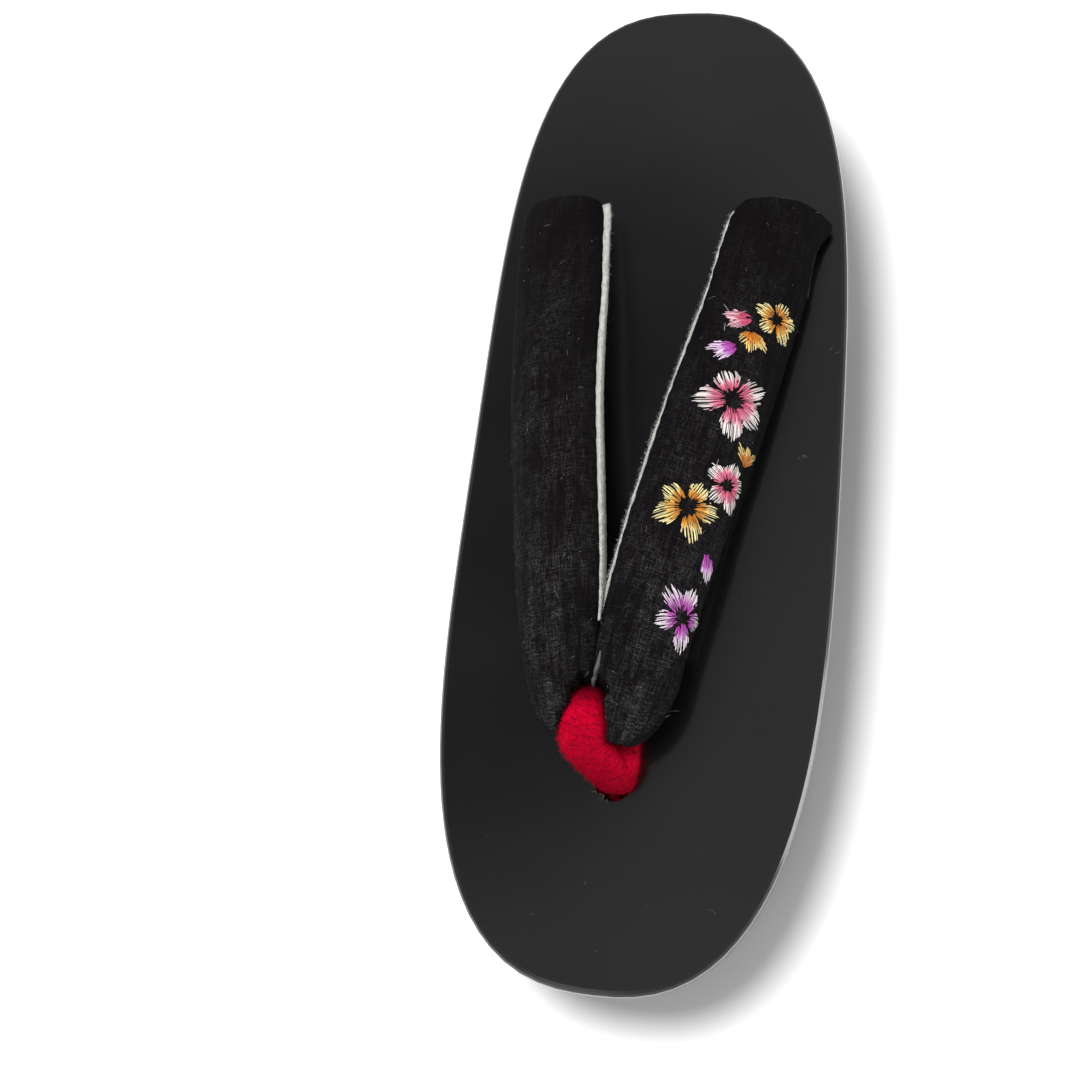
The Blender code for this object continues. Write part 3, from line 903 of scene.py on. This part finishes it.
def make_lining(name, rows, outward, start, lip_heights, seed):
    """A thin shell over the underside of a strap, from near one seam to near the other."""
    draw = np.random.default_rng(seed)
    rows = rows[LINING_FIRST_ROW:]
    rows = rows[rows[:, 0] * LENGTH > LINING_STOP]
    path = path_of(rows)
    degrees = np.linspace(start, LINING_END, LINING_POINTS)
    lip = bell(degrees - start, LIP_SPREAD)
    fade = np.linspace(*lip_heights, len(rows)) * MM
    face = sections(rows, outward, STRAP_SIZE, degrees, LINING_PROUD)
    ragged = draw.normal(0, LINING_RAGGED, face.shape[:2])
    face = push_out(face, path, lip * fade[:, None] + ragged)
    back = sections(rows, outward, STRAP_SIZE, degrees, LINING_INSIDE)
    rings = np.concatenate([rest(face, LINING_REST[0]), rest(back, LINING_REST[1])[:, ::-1]],
                           axis=1)
    rings = press_together(rings, outward)
    count = rings.shape[1]
    faces = ring_faces(len(rings), count)
    last = (len(rings) - 1) * count
    for k in range(LINING_POINTS - 1):
        faces.append((k, k + 1, count - 2 - k, count - 1 - k))
        faces.append((last + k + 1, last + k, last + count - 1 - k, last + count - 2 - k))
    piece = add_piece(name, rings.reshape(-1, 3).tolist(), faces, lining)
    face_outward(piece)
    return piece, rings[:, 0], unit(face[:, 0] - path)


outer_lining, outer_edge, outer_edge_out = make_lining(
    "outer_lining", outer_rows, 1, 184, (0.0, 0.0), 31)
inner_lining, inner_edge, inner_edge_out = make_lining(
    "inner_lining", inner_rows, -1, 171, (1.5, 0.35), 32)
print("lining:", len(outer_lining.data.polygons), "faces a side")

# %% [markdown]
# ## Cords and knots below the board
#
# Each strap ends in a cord that goes through a hole in the board and is knotted below it.
# The photograph doesn't show the underside, so these are plain overhand knots: closed curves
# that cross themselves three times. The cord is a straight tube with two plies, which is a
# section of two lobes that turns as it goes.

# %% Cords and knots
CORD_DIAMETER = 8 * MM
STEM_DIAMETER = 7.6 * MM
KNOT_DIAMETER = 11 * MM
CORD_TWIST = 16 * MM
CORD_LOBES = 0.16
CORD_STEPS = 48
KNOT_TWIST = 7 * MM
KNOT_LOBES = 0.12
KNOT_STEPS = 96
KNOT_OVERLAP = 0.05
KNOT_RADIUS_SHARE = 0.215
TUBE_POINTS = 18
HIND_CORD_TOP = (25.8, 53.3, 42.0)
HIND_KNOT = (25.8, 38.2, 12.27)
STEM_TOP = (-1.2, -73.4, 20.0)
FRONT_KNOT = (-1.2, -73.8, 10.4)
BRIDGE_ENDS = ((-9.7, -60.8, 38.4), (1.5, -60.8, 38.4))
BRIDGE_DIAMETER = 5.4 * MM


def tube(name, path, radius, finish, lobes, twist=CORD_TWIST):
    """A tube along a path; its section is that of a two-ply cord."""
    path = np.asarray(path)
    ahead = unit(np.gradient(path, axis=0))
    side = np.cross(ahead[0], (0.31, 0.53, 0.79))
    angle = np.arange(TUBE_POINTS) / TUBE_POINTS * 2 * math.pi
    rings = []
    for place, direction, size, run in zip(path, ahead, np.broadcast_to(radius, len(path)),
                                           run_of(path)):
        side = unit(side - direction * side.dot(direction))
        other = np.cross(direction, side)
        swell = size * (1 - lobes + lobes * np.abs(np.cos(angle - run / twist * math.pi)))
        rings.append(place + np.outer(np.cos(angle) * swell, side)
                     + np.outer(np.sin(angle) * swell, other))
    return skin(name, np.array(rings), finish)


def make_cord(name, top, bottom, diameter, finish, slot):
    start, end = np.array(top) * MM, np.array(bottom) * MM
    path = start + np.outer(np.linspace(0, 1, CORD_STEPS), end - start)
    return tube(name, path, diameter / 2, finish, CORD_LOBES)


def make_knot(name, centre, diameter, finish):
    """An overhand knot that fills a ball of the given diameter."""
    turn = np.linspace(0, 2 * math.pi, KNOT_STEPS + 1)[:-1]
    turn = np.append(turn, 2 * math.pi + KNOT_OVERLAP)
    loops = np.stack([np.sin(turn) + 2 * np.sin(2 * turn),
                      np.cos(turn) - 2 * np.cos(2 * turn),
                      -1.1 * np.sin(3 * turn)], axis=1)
    radius = diameter * KNOT_RADIUS_SHARE
    path = np.array(centre) * MM + loops / 3.0 * (diameter / 2 - radius)
    return tube(name, path, radius, finish, KNOT_LOBES, KNOT_TWIST)


cords = []
for side_name, sign in (("outer", 1), ("inner", -1)):
    flip = np.array([sign, 1, 1])
    cords.append(make_cord(side_name + "_cord", HIND_CORD_TOP * flip, HIND_KNOT * flip,
                           CORD_DIAMETER, cotton, "strap_cotton"))
    cords.append(make_knot(side_name + "_knot", HIND_KNOT * flip, KNOT_DIAMETER,
                           cotton))
cords.append(make_cord("joining_cord", *BRIDGE_ENDS, BRIDGE_DIAMETER, cotton, "strap_cotton"))
for cord_piece in cords:
    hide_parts("upper")
stem = make_cord("thong_stem", STEM_TOP, FRONT_KNOT, STEM_DIAMETER, pile, "thong_velvet")
front_knot = make_knot("thong_knot", FRONT_KNOT, KNOT_DIAMETER, pile)
for red_piece in (stem, front_knot):
    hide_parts("front_thong")
print("cords and knots:", len(cords) + 2)

# %% [markdown]
# ## Embroidered blossoms
#
# The outer strap carries blossoms and buds in long and short stitch: each petal has a pale
# outer row of threads and a deeper inner row over it, and every thread dives into the cloth
# at both ends. They could be painted, but real thread stands proud and catches the light,
# so every thread is a thin tube. It is laid out flat around the blossom's middle and then
# dropped onto the strap.

# %% Blossoms
THREAD_RADIUS = 0.135 * MM
THREAD_SPACING = 0.35 * MM
THREAD_LIFT = 0.18 * MM
THREAD_SINK = 0.06 * MM
THREAD_SHADES = (0.44, 1.04)
TONE_SPREAD = (-0.28, 0.24)
TONE_START, TONE_REACH = 0.10, 0.53
PETAL_FAN = (0.50, 0.53, 0.72)  # width share at the root, its growth, how soon it is widest
PETAL_ROUNDING = 0.80
STRAP_HEADING = Vector((0.17, 0.985, 0))
RAY_HEIGHT = 100 * MM
LAY_HEIGHT = 6 * MM
LAY_REACH = 14 * MM
STITCH_ROWS = (
    # first and last share of the petal's reach, raggedness, how much paler, extra lift
    (0.30, 1.00, 0.16, 0.12, 0.0),
    (0.00, 0.60, 0.14, -0.12, 0.08 * MM),
)
THREAD_SIDES = 5
THREAD_STEPS = 7
THREAD_TAPER = 0.2
THREAD_FLATNESS = 0.8
THREAD_SHARES = [step / (THREAD_STEPS - 1) for step in range(THREAD_STEPS)]
STAINS = {
    # name: colour at the root, in the middle, at the tip
    "yellow": ((0.55, 0.20, 0.020), (0.87, 0.57, 0.16), (0.93, 0.81, 0.41)),
    "orange": ((0.58, 0.17, 0.010), (0.76, 0.30, 0.030), (0.92, 0.70, 0.26)),
    "pink": ((0.66, 0.11, 0.21), (0.88, 0.42, 0.50), (0.88, 0.82, 0.79)),
    "rose": ((0.60, 0.060, 0.16), (0.82, 0.20, 0.32), (0.90, 0.50, 0.58)),
    "magenta": ((0.44, 0.050, 0.40), (0.66, 0.22, 0.68), (0.88, 0.70, 0.90)),
    "lilac": ((0.42, 0.050, 0.38), (0.78, 0.40, 0.74), (0.90, 0.78, 0.87)),
}
BLOSSOMS = [
    # x and y of the middle in mm, bare middle and petal width in mm, stain,
    # then the direction in degrees (0 outward, 90 to the heel) and reach in mm of each petal
    (27.1, 30.0, 1.4, 3.9, "yellow", ((159, 5.7), (77, 4.7), (-133, 5.0), (-50, 6.1), (5, 5.3))),
    (19.5, 8.7, 2.3, 6.2, "pink", ((120, 7.4), (41, 8.7), (-22, 8.4), (-81, 9.4), (-165, 9.4))),
    (19.8, -10.7, 1.5, 4.5, "pink", ((151, 5.9), (82, 5.4), (-125, 5.7), (-58, 6.6), (10, 5.3))),
    (12.4, -17.5, 2.1, 5.0, "yellow", ((155, 6.6), (70, 6.4), (3, 7.6), (-67, 7.9), (-147, 8.1))),
    (13.2, -41.2, 1.7, 4.3, "lilac", ((136, 7.7), (80, 7.0), (-155, 6.3), (5, 5.6), (-72, 7.6))),
]
BUDS = [
    # the same, but a bud has no bare middle, and x and y are those of its root
    (21.3, 28.7, 0.0, 3.4, "rose", ((186, 6.2), (214, 5.4))),
    (21.9, 25.3, 0.0, 2.9, "orange", ((-30, 5.4), (-75, 5.0), (-125, 3.8))),
    (18.6, 21.3, 0.0, 3.4, "magenta", ((199, 6.2), (226, 5.2))),
    (22.8, -4.7, 0.0, 2.2, "orange", ((130, 5.0), (95, 4.6), (50, 5.2))),
    (17.1, -27.2, 0.0, 3.7, "magenta", ((-74, 5.6),)),
]
LOOSE_ENDS = [
    # x and y of the root in mm, then direction, reach, bend in mm and stain
    (17.2, 28.9, 125, 3.4, 0.4, "pink"),
    (17.9, 29.3, 25, 3.0, 0.5, "pink"),
    (16.2, 27.0, -84, 2.4, 0.1, "pink"),
    (17.1, -8.8, 98, 3.2, -0.4, "pink"),
]


def tree_of(piece):
    """A search tree for the nearest point on a piece, or where a ray meets it."""
    shape = bmesh.new()
    shape.from_mesh(piece.data)
    tree = BVHTree.FromBMesh(shape)
    shape.free()
    return tree


def drop(tree, x, y):
    """Where a ray from high above meets a piece, and the direction out of it."""
    return tree.ray_cast(Vector((x, y, RAY_HEIGHT)), Vector((0, 0, -1)))[:2]


def middle_of(x, y):
    """The point of the outer strap above a place, and the directions out, along and up."""
    point, up = drop(strap_tree, x * MM, y * MM)
    ahead = (STRAP_HEADING - up * STRAP_HEADING.dot(up)).normalized()
    return point, ahead.cross(up), ahead, up


def lay(here, flat):
    """Drop a point of the flat drawing onto the strap; also the direction out of the cloth."""
    point, out, ahead, up = here
    start = point + out * flat[0] + ahead * flat[1] + up * LAY_HEIGHT
    hit, normal, _, _ = strap_tree.ray_cast(start, -up, LAY_REACH)
    if hit is None:
        hit, normal, _, _ = strap_tree.find_nearest(start - up * LAY_HEIGHT)
    return hit, normal


def axes_at(degrees):
    """The direction of a petal on the flat cloth, and the one across it."""
    axis = np.array([math.cos(math.radians(degrees)), math.sin(math.radians(degrees))])
    return axis, np.array([-axis[1], axis[0]])


def stain_at(share, colors):
    deep, middle, pale = (np.array(color) for color in colors)
    if share < 0.5:
        return deep + (middle - deep) * share * 2
    return middle + (pale - middle) * (share * 2 - 1)


class Stitches:
    """Collects the threads of all blossoms in one mesh."""

    def __init__(self):
        self.verts, self.faces, self.colors = [], [], []

    def thread(self, points, ups, colors, radius):
        first = len(self.verts)
        for place, (point, up) in enumerate(zip(points, ups)):
            ahead = points[min(place + 1, len(points) - 1)] - points[max(place - 1, 0)]
            side = ahead.cross(up).normalized()
            size = radius * (THREAD_TAPER if place in (0, len(points) - 1) else 1.0)
            for k in range(THREAD_SIDES):
                angle = 2 * math.pi * k / THREAD_SIDES
                self.verts.append(point + side * math.cos(angle) * size
                                  + up * math.sin(angle) * size * THREAD_FLATNESS)
                self.colors.append((*colors[place], 1))
        self.faces += ring_faces(len(points), THREAD_SIDES, first)
        last = len(self.verts) - THREAD_SIDES
        self.faces.append(tuple(first + k for k in reversed(range(THREAD_SIDES))))
        self.faces.append(tuple(last + k for k in range(THREAD_SIDES)))

    def petal(self, here, degrees, start, reach, width, stain, draw):
        """One petal in two rows of stitches: pale outer ones and deeper inner ones on top."""
        axis, cross = axes_at(degrees)
        slant = draw.uniform(-0.10, 0.10)
        run = reach - start
        root_width, growth, widest = PETAL_FAN
        for first, last, ragged, paler, lift in STITCH_ROWS:
            count = max(5, round(width * MM / THREAD_SPACING))
            for k in range(count):
                share = (k + 0.5 + draw.uniform(-0.25, 0.25)) / count * 2 - 1
                rounding = math.sqrt(max(0, 1 - PETAL_ROUNDING * share * share))
                low = first + draw.uniform(-ragged, ragged)
                high = (last + draw.uniform(-ragged, ragged * 0.5)) * rounding
                tone_shift = paler + draw.uniform(*TONE_SPREAD)
                shade = draw.uniform(*THREAD_SHADES)
                stray = draw.uniform(-0.07, 0.07) * width
                points, ups, colors = [], [], []
                for t in THREAD_SHARES:
                    out = low + (high - low) * t
                    opened = math.sin(math.pi * widest * min(1, max(0, out)))
                    fan = root_width + growth * opened
                    aside = share * width / 2 * fan + slant * out * run * 0.5 + stray * out
                    hit, normal = lay(here, (axis * (start + out * run) + cross * aside) * MM)
                    dome = (1 - share * share * 0.35) * math.sin(math.pi * t) ** 0.5
                    points.append(hit + normal * ((THREAD_LIFT + lift) * dome - THREAD_SINK))
                    ups.append(normal)
                    tone = min(1, max(0, (out - TONE_START) / TONE_REACH + tone_shift))
                    colors.append(np.clip(stain_at(tone, STAINS[stain]) * shade, 0, 1))
                self.thread(points, ups, colors, THREAD_RADIUS * draw.uniform(0.8, 1.15))

    def loose_end(self, here, degrees, reach, bend, stain):
        """One thin thread end that lies on the cloth."""
        axis, cross = axes_at(degrees)
        points, ups = [], []
        for t in THREAD_SHARES:
            hit, normal = lay(here, (axis * reach * t + cross * bend * t * t) * MM)
            points.append(hit + normal * (0.10 + 0.35 * t) * MM)
            ups.append(normal)
        tones = [np.array(STAINS[stain][2]) * 0.45] * THREAD_STEPS
        self.thread(points, ups, tones, THREAD_RADIUS * 0.42)

    def piece(self, name, slot):
        """All threads as one piece, with the stain of every point."""
        made = add_piece(name, [tuple(v) for v in self.verts], self.faces, floss)
        layer = made.data.color_attributes.new("stain", "FLOAT_COLOR", "POINT")
        layer.data.foreach_set("color", np.array(self.colors, dtype=np.float32).ravel())


strap_tree = tree_of(outer_strap)
stitches = Stitches()
draw = np.random.default_rng(41)
for x, y, bare, width, stain, petals in BLOSSOMS + BUDS:
    here = middle_of(x, y)
    for degrees, reach in petals:
        stitches.petal(here, degrees, bare, reach, width, stain, draw)
for x, y, degrees, reach, bend, stain in LOOSE_ENDS:
    stitches.loose_end(middle_of(x, y), degrees, reach, bend, stain)
stitches.piece("blossoms", "embroidery_thread")
print("threads:", len(stitches.verts) // (THREAD_SIDES * THREAD_STEPS))

# %% [markdown]
# ## Fuzz
#
# Cloth isn't smooth at its edges: pile, lining and cotton have loose fibres, which blur
# their outlines. Hair particles aren't part of a mesh and would be lost when the model is
# exported, so every fibre is a thin bent spike with three sides, planted at random.

# %% Fibres
FIBRE_RINGS = ((0.0, 1.0), (0.5, 0.8), (1.0, 0.25))  # share of the length and of the radius
FIBRE_SIDES = 3
FIBRE_DROOP = 0.45
PILE_FIBRE = (0.75 * MM, 0.028 * MM)  # length and radius
LINING_FIBRE = (0.55 * MM, 0.03 * MM)
LINING_FIBRES = 1400
BOARD_CLEARANCE = 0.4 * MM


def fibres(name, roots, directions, size, finish, seed, wander):
    """Many thin bent spikes in one mesh."""
    draw = np.random.default_rng(seed)
    roots, directions = np.asarray(roots), unit(np.asarray(directions))
    count = len(roots)
    directions = unit(directions + draw.normal(0, wander, (count, 3)))
    droop = draw.normal(0, FIBRE_DROOP, (count, 3))
    reach = size[0] * draw.uniform(0.4, 1.2, (count, 1))
    side = unit(np.cross(directions, draw.normal(0, 1, (count, 3))))
    other = np.cross(directions, side)
    rings = []
    for share, taper in FIBRE_RINGS:
        centre = roots + directions * reach * share + droop * reach * share * share
        for k in range(FIBRE_SIDES):
            angle = 2 * math.pi * k / FIBRE_SIDES
            spoke = side * math.cos(angle) + other * math.sin(angle)
            rings.append(centre + spoke * size[1] * taper)
    verts = np.stack(rings, axis=1).reshape(-1, 3)
    points = len(rings)
    faces = [(0, 2, 1), (6, 7, 8), *ring_faces(len(FIBRE_RINGS), FIBRE_SIDES)]
    every = [tuple(corner + start for corner in face)
             for start in range(0, points * count, points) for face in faces]
    return add_piece(name, verts.tolist(), every, finish)


def scatter(piece, count, seed):
    """Random points on a mesh, evenly over its area above the board, and the way out of it."""
    draw = np.random.default_rng(seed)
    mesh = piece.data
    mesh.calc_loop_triangles()
    corners = np.array([tri.vertices[:] for tri in mesh.loop_triangles])
    places = points_of(mesh)
    a, b, c = (places[corners[:, k]] for k in range(3))
    normal = np.cross(b - a, c - a)
    middle = (a + b + c) / 3
    clear = middle[:, 2] > board_top(middle[:, 1]) + BOARD_CLEARANCE
    area = np.linalg.norm(normal, axis=1) * clear
    chosen = draw.choice(len(area), count, p=area / area.sum())
    s, t = draw.uniform(0, 1, (2, count, 1))
    s, t = np.where(s + t > 1, 1 - s, s), np.where(s + t > 1, 1 - t, t)
    points = a[chosen] + (b - a)[chosen] * s + (c - a)[chosen] * t
    return points, unit(normal[chosen])


for leg, count, seed in ((thong_over, 9000, 51), (thong_under, 5000, 52)):
    points, out = scatter(leg, count, seed)
    fibres(leg.name + "_pile", points, out, PILE_FIBRE, pile, seed, 0.75)

for name, edge, out, seed in (("outer_lining_fuzz", outer_edge, outer_edge_out, 53),
                              ("inner_lining_fuzz", inner_edge, inner_edge_out, 54)):
    draw = np.random.default_rng(seed)
    picks = draw.uniform(0, len(edge) - 1, LINING_FIBRES)
    low = picks.astype(int)
    share = (picks - low)[:, None]
    roots = edge[low] * (1 - share) + edge[low + 1] * share
    fibres(name, roots, out[low], LINING_FIBRE, lining, seed, 0.7)

print("pieces with fuzz: 4")

# %% [markdown]
# ## Small things that sewing and wear leave
#
# Just behind the thong the end of the lining shows between the straps, as a strip whose
# off-white is darkened to grey as painted shade. On the outer edge of the outer strap, where
# its hind end is folded, short stitches hold the seam. Both are laid onto the finished
# straps. And black cloth and lacquer catch lint.

# %% End of the lining
LINING_TAIL = [
    # x and y in mm, radius in mm
    (-2.60, -50.2, 0.16), (-2.80, -52.0, 0.36), (-3.15, -53.7, 0.50), (-4.55, -56.1, 0.56),
    (-6.70, -60.0, 0.60),
]
TAIL_LIFT = 0.1 * MM
TAIL_STEPS = 5
TAIL_LOBES = 0.2

strap_trees = [strap_tree, tree_of(inner_strap)]
tail_rows = smooth_rows([(x * MM, y * MM, radius * MM) for x, y, radius in LINING_TAIL],
                        TAIL_STEPS)
tail_path = []
height = 0
for x, y, _ in tail_rows:
    hits = [drop(tree, x, y)[0] for tree in strap_trees]
    height = max([hit.z for hit in hits if hit], default=height)
    tail_path.append((x, y, height + TAIL_LIFT))
shaded_lining = Finish("shaded_lining", Base_Color=(0.085, 0.083, 0.080, 1), Roughness=0.95)
tube("lining_tail", tail_path, tail_rows[:, 2], shaded_lining, TAIL_LOBES)
print("lining tail:", len(tail_path), "rings")

# %% Seam stitches
SEAM_REACH = (40.5 * MM, 51.5 * MM)
SEAM_PITCH = 0.45 * MM
SEAM_ANGLES = (4, 9, 14, 19)
SEAM_GREY = (0.075, 0.070, 0.072)
SEAM_LIFT = 0.05 * MM
SEAM_RADIUS = 0.09 * MM

seam = Stitches()
seam_rows = evenly(smooth_rows(OUTER_LIMB, TABLE_STEPS), SEAM_PITCH)
places = seam_rows[:, 0] * LENGTH
seam_rows = seam_rows[(places > SEAM_REACH[0]) & (places < SEAM_REACH[1])]
for row in sections(seam_rows, 1, STRAP_SIZE, SEAM_ANGLES):
    found = [strap_tree.find_nearest(Vector(place))[:2] for place in row]
    seam.thread([hit + normal * SEAM_LIFT for hit, normal in found],
                [normal for _, normal in found], [SEAM_GREY] * len(found), SEAM_RADIUS)
seam.piece("seam_stitches", "strap_cotton")
print("seam stitches:", len(seam_rows))

# %% Lint
BOARD_LINT = [
    # x and y in mm, direction in degrees, fibres
    (33.7, 2.4, 20, 4), (-27.9, -88.1, 70, 1), (-5.5, -95.8, 10, 1), (23.1, -98.3, 120, 1),
    (-16.3, -103.5, 60, 1), (39.1, 28.1, 40, 2), (27.8, -29.0, 100, 1),
    (-3.3, -76.6, -110, 6), (-1.8, -77.2, -80, 3), (-4.4, -76.0, -130, 3),
]
STRAP_LINT = (("outer_lint", outer_strap, 120, 61), ("inner_lint", inner_strap, 90, 62))
BOARD_FIBRE = (1.5 * MM, 0.032 * MM)  # length and radius
STRAP_FIBRE = (1.1 * MM, 0.035 * MM)
LINT_SPREAD = 0.35
LINT_TURN = 30
LINT_RISE = 0.12

lint = Finish("lint", Base_Color=(0.26, 0.25, 0.24, 1), Roughness=0.9)
draw = np.random.default_rng(60)
roots, directions = [], []
for x, y, degrees, count in BOARD_LINT:
    for _ in range(count):
        shift = draw.normal(0, LINT_SPREAD, 2)
        roots.append(((x + shift[0]) * MM, (y + shift[1]) * MM, board_top(y * MM) + 0.08 * MM))
        turn = math.radians(degrees + draw.normal(0, LINT_TURN))
        directions.append((math.cos(turn), math.sin(turn), LINT_RISE))
fibres("board_lint", roots, directions, BOARD_FIBRE, lint, 63, 0.12)
for name, strap, count, seed in STRAP_LINT:
    points, out = scatter(strap, count, seed)
    along_cloth = np.cross(out, np.random.default_rng(seed + 100).normal(0, 1, out.shape))
    fibres(name, points + out * 0.06 * MM, unit(along_cloth) + out * LINT_RISE, STRAP_FIBRE,
           lint, seed, 0.1)
print("pieces with lint: 3")

# %% [markdown]
# ## End

# The dressed sandal has to stay inside the box of the imported model, apart from the little
# that cloth may stand proud.

# %% Finish
print("done")
